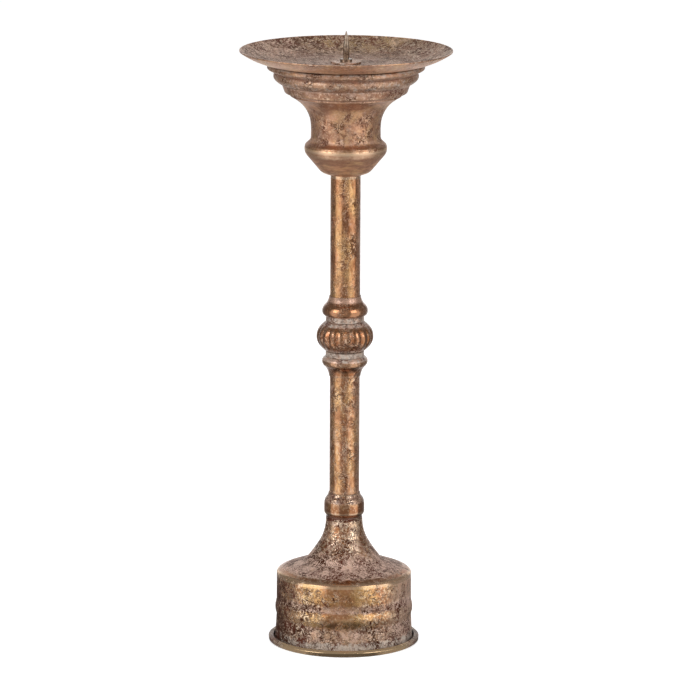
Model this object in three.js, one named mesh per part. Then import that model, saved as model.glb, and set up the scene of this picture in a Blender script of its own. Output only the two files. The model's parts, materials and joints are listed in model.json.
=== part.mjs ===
// Metal candlestick: a drip pan with a spike on a tiered cup, a tube stem with a fluted knop, and a
// trumpet foot on a drum with a rolled rim. One tie rod clamps the stem, and the pan screws on to it.
// Millimetres, +Z up, origin at the middle of the foot on the table.

import * as THREE from 'three';
import { mergeVertices } from 'three/addons/utils/BufferGeometryUtils.js';

// Fits and stock
const FIT = 0.3; // gap between pieces that slide into, over or past each other
const SHEET = 1.0; // wall of every spun piece
const THREAD_RADIUS = 3.0; // M6 rod and spike tail
const NUT_FLATS = 10.0; // M6 hexagon, across flats
const WASHER_RADIUS = 6.2; // M6 plain washer
const WASHER_THICKNESS = 1.6;

// Foot: drum with a bead and an edge rolled round a wire
const DRUM_RADIUS = 45.25;
const DRUM_HEIGHT = 47.5; // table to the seam under the dome
const DRUM_FOOT_FLARE = 0.85; // how far the wall spreads from the seam to the rim
const DRUM_BEAD_DROP = 24.0; // seam to the bead's middle
const DRUM_BEAD_SPAN = 10.6;
const DRUM_BEAD_BULGE = 0.85;
const RIM_ROLL_RADIUS = 2.2; // outside of the roll
const RIM_CLEARANCE = 0.1; // roll to the drum's wall
const RIM_CURL = 225; // degrees that the edge is rolled round its wire
const RIM_BEND = 1.0; // bend from the wall to the rim

// Foot: dome and trumpet
const SHOULDER_ROUND = 6.0; // rounding from the drum's edge to the dome
const SHOULDER_SLOPE = 50; // degrees, where the rounding starts
const DOME_SLOPE = 20;
const DOME_FOOT_RADIUS = 28.0; // where the dome starts to sweep up
const SWEEP_ROUND = 8.0;
const TRUMPET_SLOPE = 54;
const THROAT_ROUND = 32.0;
const THROAT_PROUD = 2.2; // top of the trumpet past the tube
const THROAT_LAND = 1.0; // straight edge at the top of the trumpet
const SKIRT_DEPTH = 5.0; // lap of the dome inside the drum

// Foot: clamping bar and the lower end of the rod
const BRIDGE_WIDTH = 16.0;
const BRIDGE_THICKNESS = 3.0;
const BASE_WASHER_RADIUS = 9.0;
const LOCK_WASHER_THICKNESS = 1.6;
const NUT_HEIGHT = 5.0;
const ROD_PROUD = 3.0; // rod showing past the base nut

// Stem
const TUBE_RADIUS = 10.0;
const TUBE_WALL = 1.0;
const LOWER_TUBE_LENGTH = 95.8;
const UPPER_TUBE_LENGTH = 87.7;
const SOCKET_LIP = 0.3; // edge of a casting round the tube
const COVE_END = 95; // heading of a casting's hollow sweep where it meets the tube
const FERRULE_PROUD = 3.6; // plain band past the tube
const FERRULE_NECK = 0.9;
const FERRULE_CHAMFER = 2.4;
const FERRULE_BAND = 5.0;
const FERRULE_SHOULDER_ROUND = 9.5;
const FERRULE_SHOULDER_TURN = 30;
const FERRULE_COVE_START = 138;
const FERRULE_SOCKET = 10.0; // how deep the tube stands in it
const FERRULE_SPIGOT = 4.0; // how deep it stands in the trumpet
const COLLAR_PROUD = 5.3; // bead past the tube
const COLLAR_NEAR_ROUND = 3.4; // bead, knop side
const COLLAR_NEAR_START = 24;
const UPPER_COLLAR_FAR_ROUND = 6.3; // bead, tube side
const UPPER_COLLAR_FAR_TURN = 52;
const LOWER_COLLAR_FAR_ROUND = 4.3;
const LOWER_COLLAR_FAR_TURN = 57;
const COLLAR_COVE_START = 131;
const COLLAR_SOCKET = 6.0;
const SLEEVE_PROUD = 2.8; // past the tube
const SLEEVE_HEIGHT = 3.5;
const SLEEVE_LAND = 4.4; // seat round each of its spigots
const SLEEVE_SPIGOT = 3.0; // how deep it stands in the knop and in the collar
const KNOP_PROUD = 9.1; // lobes past the tube
const KNOP_HEIGHT = 20.6;
const KNOP_INSET = 1.1; // sleeve's side to the edge of the knop's flat end
const KNOP_LOBES = 20;
const KNOP_FLUTE_DEPTH = 0.9;

// Cup: bowl, crest, neck, bell and three tiers
const BOWL_SEAT_WIDTH = 0.6; // flat under the bowl outside the tube
const BOWL_BOTTOM_SLOPE = 15;
const BOWL_BOTTOM_WIDTH = 2.9;
const BOWL_CORNER_ROUND = 8.0;
const BOWL_SLOPE = 50;
const BOWL_RIM_ROUND = 7.0;
const BOWL_SPIGOT = 6.0; // how deep the bowl stands in the upper tube
const CREST_PROUD = 4.3; // past the neck
const CREST_LAND = 0.3; // straight edge on each side of the seam at the crest
const CREST_ROUND = 4.0;
const CREST_TURN = 60;
const CUP_NECK_RADIUS = 23.1;
const CUP_NECK_LENGTH = 6.4;
const BELL_ROUND = 22.0;
const BELL_SLOPE = 31;
const BELL_STRAIGHT = 3.8; // slope above the bell's sweep
const BELL_STEP = 1.2;
const LOW_TIER_UNDERSIDE_SLOPE = 15;
const LOW_TIER_LEDGE = 3.0;
const LOW_TIER_EDGE_ROUND = 1.2;
const LOW_TIER_HEIGHT = 5.0;
const LOW_TIER_SLOPE = 70;
const MID_TIER_UNDERSIDE_SLOPE = 30;
const MID_TIER_LEDGE = 4.2;
const MID_TIER_ROUND = 3.7;
const MID_TIER_TURN = 105;
const LIP_UNDERSIDE_SLOPE = 24;
const LIP_LEDGE = 4.9;
const LIP_ROUND = 1.3;
const FLANGE_WIDTH = 12.8; // flat top of the lip, which the pan sits on

// Pan and spike
const PAN_RADIUS = 70.5;
const PAN_SEAT_WIDTH = 4.0; // flat of the pan's underside on the flange
const PAN_WALL_RISE = 8.9; // underside to the foot of the hem
const PAN_HEM = 0.8;
const SPIKE_RADIUS = 1.85;
const SPIKE_HEIGHT = 18.4; // above its foot
const SPIKE_POINT = 9.0;
const SPIKE_TIP_RADIUS = 0.25;
const SPIKE_FOOT_RADIUS = 4.0;
const SPIKE_FOOT_HEIGHT = 1.6;
const SPIKE_WASHER_RADIUS = 10.0;
const SPIKE_WASHER_THICKNESS = 1.2;
const PAN_WASHER_RADIUS = 9.0;
const PAN_WASHER_THICKNESS = 1.2;
const THIN_NUT_HEIGHT = 3.2;
const SEAT_WASHER_THICKNESS = 1.0;
const COUPLER_GAP = 4.0; // rod end to spike tail, inside the coupler
const TAIL_GRIP = 9.0; // spike tail inside the coupler
const ROD_GRIP = 11.0; // tie rod inside the coupler

// Facets
const ROUND = 32; // turned pieces
const SMALL_ROUND = 20; // rods, washers and holes
const WIRE_ROUND = 8;
const LOBE_FACETS = 4;
const KNOP_ROWS = 8;
const BEND_TOLERANCE = 0.2; // how far a facet may cut inside the arc that it follows

const ROD_HOLE = THREAD_RADIUS + FIT;
const TUBE_BORE = TUBE_RADIUS - TUBE_WALL;
const SOCKET_RADIUS = TUBE_RADIUS + FIT;
const SOCKET_EDGE = SOCKET_RADIUS + SOCKET_LIP;
const DRUM_FOOT_RADIUS = DRUM_RADIUS + DRUM_FOOT_FLARE;
const RIM_MIDDLE_RADIUS = DRUM_FOOT_RADIUS + RIM_CLEARANCE + RIM_ROLL_RADIUS;
const SKIRT_RADIUS = DRUM_RADIUS - SHEET - FIT;
const THROAT_RADIUS = TUBE_RADIUS + THROAT_PROUD;
const FERRULE_RADIUS = TUBE_RADIUS + FERRULE_PROUD;
const COLLAR_RADIUS = TUBE_RADIUS + COLLAR_PROUD;
const KNOP_RADIUS = TUBE_RADIUS + KNOP_PROUD;
const SLEEVE_RADIUS = TUBE_RADIUS + SLEEVE_PROUD;
const SLEEVE_SPIGOT_RADIUS = SLEEVE_RADIUS - SLEEVE_LAND;
const SLEEVE_SEAT_BORE = SLEEVE_SPIGOT_RADIUS + FIT;
const CREST_RADIUS = CUP_NECK_RADIUS + CREST_PROUD;
const COUPLER_LENGTH = ROD_GRIP + COUPLER_GAP + TAIL_GRIP;

const sin = (degrees) => Math.sin(THREE.MathUtils.degToRad(degrees));
const cos = (degrees) => Math.cos(THREE.MathUtils.degToRad(degrees));

// A pen that draws a meridian as [radius, height] points. Headings are in degrees: 0 points away from
// the axis and 90 points up. A positive bend turns left.
class Pen {
  constructor(radius, height, heading) {
    this.points = [[radius, height]];
    this.heading = heading;
  }

  get radius() {
    return this.points.at(-1)[0];
  }

  get height() {
    return this.points.at(-1)[1];
  }

  to(radius, height) {
    this.points.push([radius, height]);
    return this;
  }

  face(heading) {
    this.heading = heading;
    return this;
  }

  go(length) {
    return this.to(this.radius + length * cos(this.heading), this.height + length * sin(this.heading));
  }

  goToRadius(radius) {
    return this.go((radius - this.radius) / cos(this.heading));
  }

  goToHeight(height) {
    return this.go((height - this.height) / sin(this.heading));
  }

  bend(round, turn) {
    const side = Math.sign(turn);
    const middle = [
      this.radius - side * round * sin(this.heading),
      this.height + side * round * cos(this.heading),
    ];
    const start = this.heading;
    const facet = 2 * Math.acos(1 - BEND_TOLERANCE / round);
    const steps = Math.max(2, Math.ceil(THREE.MathUtils.degToRad(Math.abs(turn)) / facet));
    for (let i = 1; i <= steps; i += 1) {
      const heading = start + (turn * i) / steps;
      this.to(middle[0] + side * round * sin(heading), middle[1] - side * round * cos(heading));
    }
    this.heading = start + turn;
    return this;
  }
}

// The meridian moved sideways by a distance, to the left of its direction of travel, with mitred corners.
function offset(points, distance) {
  const normals = [];
  for (let i = 0; i + 1 < points.length; i += 1) {
    const [dr, dz] = [points[i + 1][0] - points[i][0], points[i + 1][1] - points[i][1]];
    const length = Math.hypot(dr, dz);
    normals.push([-dz / length, dr / length]);
  }
  return points.map(([r, z], i) => {
    const before = normals[Math.max(i - 1, 0)];
    const after = normals[Math.min(i, normals.length - 1)];
    const stretch = distance / (1 + before[0] * after[0] + before[1] * after[1]);
    return [r + (before[0] + after[0]) * stretch, z + (before[1] + after[1]) * stretch];
  });
}

// A closed meridian of sheet metal: one face as drawn, and the other a wall away on its left.
function sheet(points, wall) {
  return [...points, ...offset(points, wall).reverse()];
}

function area(points) {
  let sum = 0;
  points.forEach(([r, z], i) => {
    const [nextR, nextZ] = points[(i + 1) % points.length];
    sum += r * nextZ - nextR * z;
  });
  return sum / 2;
}

// Turns a closed meridian about the Z axis.
function turned(points, facets = ROUND) {
  const ordered = area(points) > 0 ? points : [...points].reverse();
  const onAxis = ordered[0][0] === 0 && ordered.at(-1)[0] === 0;
  const loop = onAxis ? ordered : [...ordered, ordered[0]];
  const geometry = new THREE.LatheGeometry(loop.map(([r, z]) => new THREE.Vector2(r, z)), facets);
  geometry.rotateX(Math.PI / 2);
  geometry.deleteAttribute('normal');
  geometry.deleteAttribute('uv');
  return mergeVertices(geometry, 1e-5);
}

function ring(outer, inner, bottom, height, facets = ROUND) {
  const top = bottom + height;
  return turned([[inner, bottom], [outer, bottom], [outer, top], [inner, top]], facets);
}

function washer(radius, bottom, thickness) {
  return ring(radius, ROD_HOLE, bottom, thickness, SMALL_ROUND);
}

// A flat outline with the rod's hole in its middle, given a thickness.
function drilled(shape, bottom, height) {
  shape.holes.push(new THREE.Path().absarc(0, 0, ROD_HOLE, 0, 2 * Math.PI, true));
  const geometry = new THREE.ExtrudeGeometry(shape, {
    depth: height,
    bevelEnabled: false,
    curveSegments: SMALL_ROUND / 2,
  });
  return geometry.translate(0, 0, bottom);
}

// A hexagon nut with a plain hole.
function hexNut(bottom, height) {
  const corner = NUT_FLATS / 2 / cos(30);
  const corners = [0, 60, 120, 180, 240, 300].map((turn) => {
    return new THREE.Vector2(corner * cos(turn), corner * sin(turn));
  });
  return drilled(new THREE.Shape(corners), bottom, height);
}

// A casting's hollow sweep, from where the pen is to the thin edge round the tube.
function coveToTube(pen, start) {
  const round = (pen.radius - SOCKET_EDGE) / (sin(COVE_END) - sin(start));
  return pen.face(start).bend(round, COVE_END - start);
}

// Finishes
const COPPER_SHEET = { color: 0xa07452, roughness: 0.42, metalness: 0.9 };
const COPPER_CAST = { color: 0x96694a, roughness: 0.38, metalness: 0.9 };
const ZINC_STEEL = { color: 0x9a9c9e, roughness: 0.4, metalness: 0.9 };
const SPIKE_STEEL = { color: 0x8b8178, roughness: 0.35, metalness: 0.95 };
const BLACK_RUBBER = { color: 0x1c1b1a, roughness: 0.8, metalness: 0 };

const candlestick = new THREE.Group();

function add(name, geometry, finish) {
  const mesh = new THREE.Mesh(geometry, new THREE.MeshStandardMaterial(finish));
  mesh.name = name;
  candlestick.add(mesh);
}

// Drum: the outside of the wall, from the seam down over the bead, out under the wire and round it.
function baseDrum() {
  const halfSpan = DRUM_BEAD_SPAN / 2;
  const beadRound = (halfSpan ** 2 + DRUM_BEAD_BULGE ** 2) / (2 * DRUM_BEAD_BULGE);
  const beadHalfTurn = THREE.MathUtils.radToDeg(Math.asin(halfSpan / beadRound));
  const pen = new Pen(DRUM_RADIUS, DRUM_HEIGHT, 270);
  pen.goToHeight(DRUM_HEIGHT - DRUM_BEAD_DROP + halfSpan);
  pen.face(270 + beadHalfTurn).bend(beadRound, -2 * beadHalfTurn);
  pen.to(DRUM_FOOT_RADIUS, SHEET + RIM_BEND).face(270);
  pen.bend(RIM_BEND, 90).goToRadius(RIM_MIDDLE_RADIUS);
  pen.bend(RIM_ROLL_RADIUS - SHEET, RIM_CURL);
  return turned(sheet(pen.points, -SHEET));
}

function rimWire() {
  const wireRadius = RIM_ROLL_RADIUS - SHEET - FIT;
  const section = Array.from({ length: WIRE_ROUND }, (_, i) => {
    const angle = (360 * i) / WIRE_ROUND;
    return [RIM_MIDDLE_RADIUS + wireRadius * cos(angle), RIM_ROLL_RADIUS + wireRadius * sin(angle)];
  });
  return turned(section);
}

// Dome and trumpet: the outside, from the seam up to the throat.
function trumpetOutline() {
  const pen = new Pen(DRUM_RADIUS, DRUM_HEIGHT, 180 - SHOULDER_SLOPE);
  pen.bend(SHOULDER_ROUND, SHOULDER_SLOPE - DOME_SLOPE).goToRadius(DOME_FOOT_RADIUS);
  pen.bend(SWEEP_ROUND, DOME_SLOPE - TRUMPET_SLOPE);
  pen.goToRadius(THROAT_RADIUS + THROAT_ROUND * (1 - sin(TRUMPET_SLOPE)));
  return pen.bend(THROAT_ROUND, TRUMPET_SLOPE - 90).go(THROAT_LAND).points;
}

const THROAT_HEIGHT = trumpetOutline().at(-1)[1];

function baseCone() {
  const outside = trumpetOutline();
  const inside = offset(outside, SHEET).filter(([r]) => r < SKIRT_RADIUS - SHEET);
  const innerEdge = inside[0];
  const skirt = [
    [SKIRT_RADIUS - SHEET, innerEdge[1]],
    [SKIRT_RADIUS - SHEET, DRUM_HEIGHT - SKIRT_DEPTH],
    [SKIRT_RADIUS, DRUM_HEIGHT - SKIRT_DEPTH],
    [SKIRT_RADIUS, DRUM_HEIGHT],
  ];
  return turned([...outside, ...inside.reverse(), ...skirt]);
}

// Lower end of the rod, from the bar down.
const BRIDGE_BOTTOM = DRUM_HEIGHT - SKIRT_DEPTH - BRIDGE_THICKNESS;
const BASE_WASHER_BOTTOM = BRIDGE_BOTTOM - WASHER_THICKNESS;
const LOCK_WASHER_BOTTOM = BASE_WASHER_BOTTOM - LOCK_WASHER_THICKNESS;
const BASE_NUT_BOTTOM = LOCK_WASHER_BOTTOM - NUT_HEIGHT;

function baseBridge() {
  const half = BRIDGE_WIDTH / 2;
  const reach = Math.sqrt(SKIRT_RADIUS ** 2 - half ** 2);
  const shape = new THREE.Shape();
  shape.moveTo(-reach, -half).lineTo(reach, -half).lineTo(reach, half).lineTo(-reach, half).closePath();
  return drilled(shape, BRIDGE_BOTTOM, BRIDGE_THICKNESS);
}

add('base_drum', baseDrum(), COPPER_SHEET);
add('rim_wire', rimWire(), ZINC_STEEL);
add('base_cone', baseCone(), COPPER_SHEET);
add('base_bridge', baseBridge(), ZINC_STEEL);
add('base_washer', washer(BASE_WASHER_RADIUS, BASE_WASHER_BOTTOM, WASHER_THICKNESS), ZINC_STEEL);
add('base_lock_washer', washer(WASHER_RADIUS, LOCK_WASHER_BOTTOM, LOCK_WASHER_THICKNESS), ZINC_STEEL);
add('base_nut', hexNut(BASE_NUT_BOTTOM, NUT_HEIGHT), ZINC_STEEL);

// Ferrule: stands in the trumpet's throat and takes the lower tube.
function ferruleOutline() {
  const pen = new Pen(THROAT_RADIUS, THROAT_HEIGHT, 90);
  pen.go(FERRULE_NECK).to(FERRULE_RADIUS, pen.height + FERRULE_CHAMFER).go(FERRULE_BAND);
  pen.bend(FERRULE_SHOULDER_ROUND, FERRULE_SHOULDER_TURN);
  return coveToTube(pen, FERRULE_COVE_START).points;
}

const FERRULE_TOP = ferruleOutline().at(-1)[1];
const LOWER_TUBE_BOTTOM = FERRULE_TOP - FERRULE_SOCKET;
const LOWER_TUBE_TOP = LOWER_TUBE_BOTTOM + LOWER_TUBE_LENGTH;

function baseFerrule() {
  const spigotRadius = THROAT_RADIUS - SHEET - FIT;
  const spigotBottom = THROAT_HEIGHT - FERRULE_SPIGOT;
  return turned([
    [spigotRadius, spigotBottom],
    [spigotRadius, THROAT_HEIGHT],
    ...ferruleOutline(),
    [SOCKET_RADIUS, FERRULE_TOP],
    [SOCKET_RADIUS, LOWER_TUBE_BOTTOM],
    [ROD_HOLE, LOWER_TUBE_BOTTOM],
    [ROD_HOLE, spigotBottom],
  ]);
}

// Collar, drawn from its face at the knop to its edge on the tube. Height 0 is that face.
function collarOutline(farRound, farTurn) {
  const start = COLLAR_RADIUS - COLLAR_NEAR_ROUND * (1 - sin(COLLAR_NEAR_START));
  const pen = new Pen(start, 0, COLLAR_NEAR_START);
  pen.bend(COLLAR_NEAR_ROUND, 90 - COLLAR_NEAR_START).bend(farRound, farTurn);
  return coveToTube(pen, COLLAR_COVE_START).points;
}

function collar(outline, faceHeight, up) {
  const edge = outline.at(-1)[1];
  const section = [
    ...outline,
    [SOCKET_RADIUS, edge],
    [SOCKET_RADIUS, edge - COLLAR_SOCKET],
    [SLEEVE_SEAT_BORE, edge - COLLAR_SOCKET],
    [SLEEVE_SEAT_BORE, 0],
  ];
  return turned(section.map(([r, z]) => [r, faceHeight + up * z]));
}

// Sleeve: a disc on the rod with a spigot on each side.
function sleeve(bottom) {
  const top = bottom + SLEEVE_HEIGHT;
  return turned([
    [ROD_HOLE, bottom - SLEEVE_SPIGOT],
    [SLEEVE_SPIGOT_RADIUS, bottom - SLEEVE_SPIGOT],
    [SLEEVE_SPIGOT_RADIUS, bottom],
    [SLEEVE_RADIUS, bottom],
    [SLEEVE_RADIUS, top],
    [SLEEVE_SPIGOT_RADIUS, top],
    [SLEEVE_SPIGOT_RADIUS, top + SLEEVE_SPIGOT],
    [ROD_HOLE, top + SLEEVE_SPIGOT],
  ]);
}

// Knop: a bulge that follows part of an ellipse, then flutes that fade out towards both ends.
function flutedKnop(bottom) {
  const endRadius = SLEEVE_RADIUS - KNOP_INSET;
  const side = Array.from({ length: KNOP_ROWS + 1 }, (_, i) => {
    const share = i / KNOP_ROWS;
    const fall = (KNOP_RADIUS ** 2 - endRadius ** 2) * (2 * share - 1) ** 2;
    return [Math.sqrt(KNOP_RADIUS ** 2 - fall), bottom + KNOP_HEIGHT * share];
  });
  const section = [[SLEEVE_SEAT_BORE, bottom], ...side, [SLEEVE_SEAT_BORE, bottom + KNOP_HEIGHT]];
  const geometry = turned(section, KNOP_LOBES * LOBE_FACETS);
  const position = geometry.attributes.position;
  for (let i = 0; i < position.count; i += 1) {
    const [x, y, z] = [position.getX(i), position.getY(i), position.getZ(i)];
    const radius = Math.hypot(x, y);
    if (radius > SLEEVE_SEAT_BORE + FIT) {
      const fade = Math.max(0, Math.sin((Math.PI * (z - bottom)) / KNOP_HEIGHT));
      const groove = 1 - Math.abs(Math.sin((KNOP_LOBES / 2) * Math.atan2(x, -y)));
      const scale = 1 - (KNOP_FLUTE_DEPTH * fade * groove) / radius;
      position.setXY(i, x * scale, y * scale);
    }
  }
  return geometry;
}

// Stem, stacked from the lower tube up.
const LOWER_COLLAR = collarOutline(LOWER_COLLAR_FAR_ROUND, LOWER_COLLAR_FAR_TURN);
const UPPER_COLLAR = collarOutline(UPPER_COLLAR_FAR_ROUND, UPPER_COLLAR_FAR_TURN);
const LOWER_SLEEVE_BOTTOM = LOWER_TUBE_TOP - COLLAR_SOCKET + LOWER_COLLAR.at(-1)[1];
const KNOP_BOTTOM = LOWER_SLEEVE_BOTTOM + SLEEVE_HEIGHT;
const UPPER_SLEEVE_BOTTOM = KNOP_BOTTOM + KNOP_HEIGHT;
const UPPER_COLLAR_BOTTOM = UPPER_SLEEVE_BOTTOM + SLEEVE_HEIGHT;
const UPPER_TUBE_BOTTOM = UPPER_COLLAR_BOTTOM + UPPER_COLLAR.at(-1)[1] - COLLAR_SOCKET;
const UPPER_TUBE_TOP = UPPER_TUBE_BOTTOM + UPPER_TUBE_LENGTH;

add('base_ferrule', baseFerrule(), COPPER_CAST);
add('lower_tube', ring(TUBE_RADIUS, TUBE_BORE, LOWER_TUBE_BOTTOM, LOWER_TUBE_LENGTH), COPPER_SHEET);
add('lower_collar', collar(LOWER_COLLAR, LOWER_SLEEVE_BOTTOM, -1), COPPER_CAST);
add('knop_lower_sleeve', sleeve(LOWER_SLEEVE_BOTTOM), COPPER_CAST);
add('fluted_knop', flutedKnop(KNOP_BOTTOM), COPPER_CAST);
add('knop_upper_sleeve', sleeve(UPPER_SLEEVE_BOTTOM), COPPER_CAST);
add('upper_collar', collar(UPPER_COLLAR, UPPER_COLLAR_BOTTOM, 1), COPPER_CAST);
add('upper_tube', ring(TUBE_RADIUS, TUBE_BORE, UPPER_TUBE_BOTTOM, UPPER_TUBE_LENGTH), COPPER_SHEET);

// Bowl: its outside, from the spigot in the tube to the crest.
function bowlOutline() {
  const spigotRadius = TUBE_BORE - FIT;
  const pen = new Pen(spigotRadius, UPPER_TUBE_TOP - BOWL_SPIGOT, 90);
  pen.go(BOWL_SPIGOT).face(0).goToRadius(TUBE_RADIUS + BOWL_SEAT_WIDTH);
  pen.face(BOWL_BOTTOM_SLOPE).goToRadius(pen.radius + BOWL_BOTTOM_WIDTH);
  pen.bend(BOWL_CORNER_ROUND, BOWL_SLOPE - BOWL_BOTTOM_SLOPE);
  pen.goToRadius(CREST_RADIUS - BOWL_RIM_ROUND * (1 - sin(BOWL_SLOPE)));
  return pen.bend(BOWL_RIM_ROUND, 90 - BOWL_SLOPE).go(CREST_LAND).points;
}

const BOWL = bowlOutline();
const CREST_HEIGHT = BOWL.at(-1)[1];

// Bell: its outside, from the crest up the neck and over the tiers to the flange under the pan.
function bellOutline() {
  const coveRound = (CREST_RADIUS - CUP_NECK_RADIUS) / (1 - cos(CREST_TURN)) - CREST_ROUND;
  const pen = new Pen(CREST_RADIUS, CREST_HEIGHT, 90);
  pen.go(CREST_LAND).bend(CREST_ROUND, CREST_TURN).bend(coveRound, -CREST_TURN).go(CUP_NECK_LENGTH);
  pen.bend(BELL_ROUND, BELL_SLOPE - 90).go(BELL_STRAIGHT).face(90).go(BELL_STEP);
  pen.face(LOW_TIER_UNDERSIDE_SLOPE).go(LOW_TIER_LEDGE);
  pen.bend(LOW_TIER_EDGE_ROUND, LOW_TIER_SLOPE - LOW_TIER_UNDERSIDE_SLOPE);
  pen.goToHeight(pen.height + LOW_TIER_HEIGHT);
  pen.face(MID_TIER_UNDERSIDE_SLOPE).go(MID_TIER_LEDGE).bend(MID_TIER_ROUND, MID_TIER_TURN);
  pen.face(LIP_UNDERSIDE_SLOPE).go(LIP_LEDGE).bend(LIP_ROUND, 180 - LIP_UNDERSIDE_SLOPE);
  return pen.go(FLANGE_WIDTH).points;
}

const BELL = bellOutline();
const FLANGE_HEIGHT = BELL.at(-1)[1];

add('cup_bowl', turned(sheet(BOWL, SHEET)), COPPER_SHEET);
add('cup_bell', turned(sheet(BELL, SHEET)), COPPER_SHEET);

// Pan: its underside, from the spike's hole past the washer's edge to the hem.
const PAN_BOTTOM = FLANGE_HEIGHT + FIT;
const PAN_FLOOR_RADIUS = BELL.at(-1)[0] + PAN_SEAT_WIDTH;

function dripPan() {
  const run = PAN_RADIUS - PAN_FLOOR_RADIUS;
  const wallRound = (run ** 2 + PAN_WALL_RISE ** 2) / (2 * PAN_WALL_RISE);
  const wallTurn = THREE.MathUtils.radToDeg(Math.asin(run / wallRound));
  const pen = new Pen(ROD_HOLE, PAN_BOTTOM, 0);
  pen.goToRadius(SPIKE_WASHER_RADIUS + FIT).goToRadius(PAN_FLOOR_RADIUS);
  pen.bend(wallRound, wallTurn / 2).bend(wallRound, wallTurn / 2);
  pen.face(90).go(PAN_HEM);
  return turned(sheet(pen.points, SHEET));
}

// Fasteners under the pan, from the pan down to the rod.
const PAN_WASHER_BOTTOM = PAN_BOTTOM - PAN_WASHER_THICKNESS;
const PAN_NUT_BOTTOM = PAN_WASHER_BOTTOM - THIN_NUT_HEIGHT;
const SEAT_WASHER_BOTTOM = PAN_NUT_BOTTOM - SEAT_WASHER_THICKNESS;
const COUPLER_TOP = SEAT_WASHER_BOTTOM - FIT;
const COUPLER_BOTTOM = COUPLER_TOP - COUPLER_LENGTH;
const SPIKE_WASHER_BOTTOM = PAN_BOTTOM + SHEET;

function candleSpike() {
  const foot = SPIKE_WASHER_BOTTOM + SPIKE_WASHER_THICKNESS;
  const footTop = foot + SPIKE_FOOT_HEIGHT;
  const tip = footTop + SPIKE_HEIGHT;
  const tailEnd = COUPLER_TOP - TAIL_GRIP;
  return turned(
    [
      [0, tailEnd],
      [THREAD_RADIUS, tailEnd],
      [THREAD_RADIUS, foot],
      [SPIKE_FOOT_RADIUS, foot],
      [SPIKE_FOOT_RADIUS, footTop],
      [SPIKE_RADIUS, footTop],
      [SPIKE_RADIUS, tip - SPIKE_POINT],
      [SPIKE_TIP_RADIUS, tip],
      [0, tip],
    ],
    SMALL_ROUND,
  );
}

add('drip_pan', dripPan(), COPPER_SHEET);
add('candle_spike', candleSpike(), SPIKE_STEEL);
add('spike_washer', washer(SPIKE_WASHER_RADIUS, SPIKE_WASHER_BOTTOM, SPIKE_WASHER_THICKNESS), ZINC_STEEL);
add('pan_washer', washer(PAN_WASHER_RADIUS, PAN_WASHER_BOTTOM, PAN_WASHER_THICKNESS), ZINC_STEEL);
add('pan_nut', hexNut(PAN_NUT_BOTTOM, THIN_NUT_HEIGHT), ZINC_STEEL);
add('seat_washer', washer(WASHER_RADIUS, SEAT_WASHER_BOTTOM, SEAT_WASHER_THICKNESS), BLACK_RUBBER);
add('rod_coupler', hexNut(COUPLER_BOTTOM, COUPLER_LENGTH), ZINC_STEEL);
add('coupler_nut', hexNut(COUPLER_BOTTOM - THIN_NUT_HEIGHT, THIN_NUT_HEIGHT), ZINC_STEEL);

// Tie rod and the nut that clamps the stem inside the bowl.
const BOWL_FLOOR = UPPER_TUBE_TOP + SHEET;
const ROD_BOTTOM = BASE_NUT_BOTTOM - ROD_PROUD;
const ROD_TOP = COUPLER_BOTTOM + ROD_GRIP;

function tieRod() {
  const side = [[THREAD_RADIUS, ROD_BOTTOM], [THREAD_RADIUS, ROD_TOP]];
  return turned([[0, ROD_BOTTOM], ...side, [0, ROD_TOP]], SMALL_ROUND);
}

add('bowl_washer', washer(TUBE_RADIUS, BOWL_FLOOR, WASHER_THICKNESS), ZINC_STEEL);
add('bowl_nut', hexNut(BOWL_FLOOR + WASHER_THICKNESS, NUT_HEIGHT), ZINC_STEEL);
add('tie_rod', tieRod(), ZINC_STEEL);

export default candlestick;
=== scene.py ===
# Metal candlestick: turned sheet and castings in aged copper, plated fasteners and a rubber washer.
import json
import math

import bmesh
import bpy
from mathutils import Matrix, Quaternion, Vector


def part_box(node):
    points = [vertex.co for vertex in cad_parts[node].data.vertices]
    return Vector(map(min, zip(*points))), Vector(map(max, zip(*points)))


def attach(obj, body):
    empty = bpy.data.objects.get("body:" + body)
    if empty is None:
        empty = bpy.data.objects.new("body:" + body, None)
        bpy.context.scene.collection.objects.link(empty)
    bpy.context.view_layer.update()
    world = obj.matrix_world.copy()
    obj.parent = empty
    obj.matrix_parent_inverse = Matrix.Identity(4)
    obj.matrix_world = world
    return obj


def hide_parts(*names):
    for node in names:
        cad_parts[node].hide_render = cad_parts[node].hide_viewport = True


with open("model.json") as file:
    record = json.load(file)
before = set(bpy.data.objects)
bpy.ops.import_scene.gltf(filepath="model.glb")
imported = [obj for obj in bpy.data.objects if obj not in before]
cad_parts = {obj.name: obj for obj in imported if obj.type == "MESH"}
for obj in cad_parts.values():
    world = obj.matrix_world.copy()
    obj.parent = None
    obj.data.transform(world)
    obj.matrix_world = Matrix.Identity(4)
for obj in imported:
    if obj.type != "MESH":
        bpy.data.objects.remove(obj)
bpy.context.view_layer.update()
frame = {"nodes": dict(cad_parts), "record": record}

MM = 0.001

# Where the photograph was taken from
PICTURE = 692
CAMERA_DISTANCE = 3.3
CAMERA_HEIGHT = 0.876
AIM_HEIGHT = 0.2016
AXIS_PIXEL = 344.9
METRES_PER_PIXEL = 0.0006667
LEAN = math.radians(0.25)
VIEW_END = 50

# How a turned outline is read off a CAD node and drawn out into curves
ON_PLANE = 4e-6
SHARP_TURN = math.radians(75)
CREASE_TURN = math.radians(35)
STRAIGHT_TURN = 1e-4
SHORT_FACET = 2.2 * MM
LONG_LEG = 2
ROW = 2.4 * MM
ROW_TURN = math.radians(4)
RELIEF_REACH = 1.6 * MM

# Small round on each sharp corner, at most a share of the legs beside it, between two guard points
EDGE_ROUND = 0.22 * MM
EDGE_SHARE = 0.3
EDGE_STEPS = 4
EDGE_GUARD = 1.5

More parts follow.
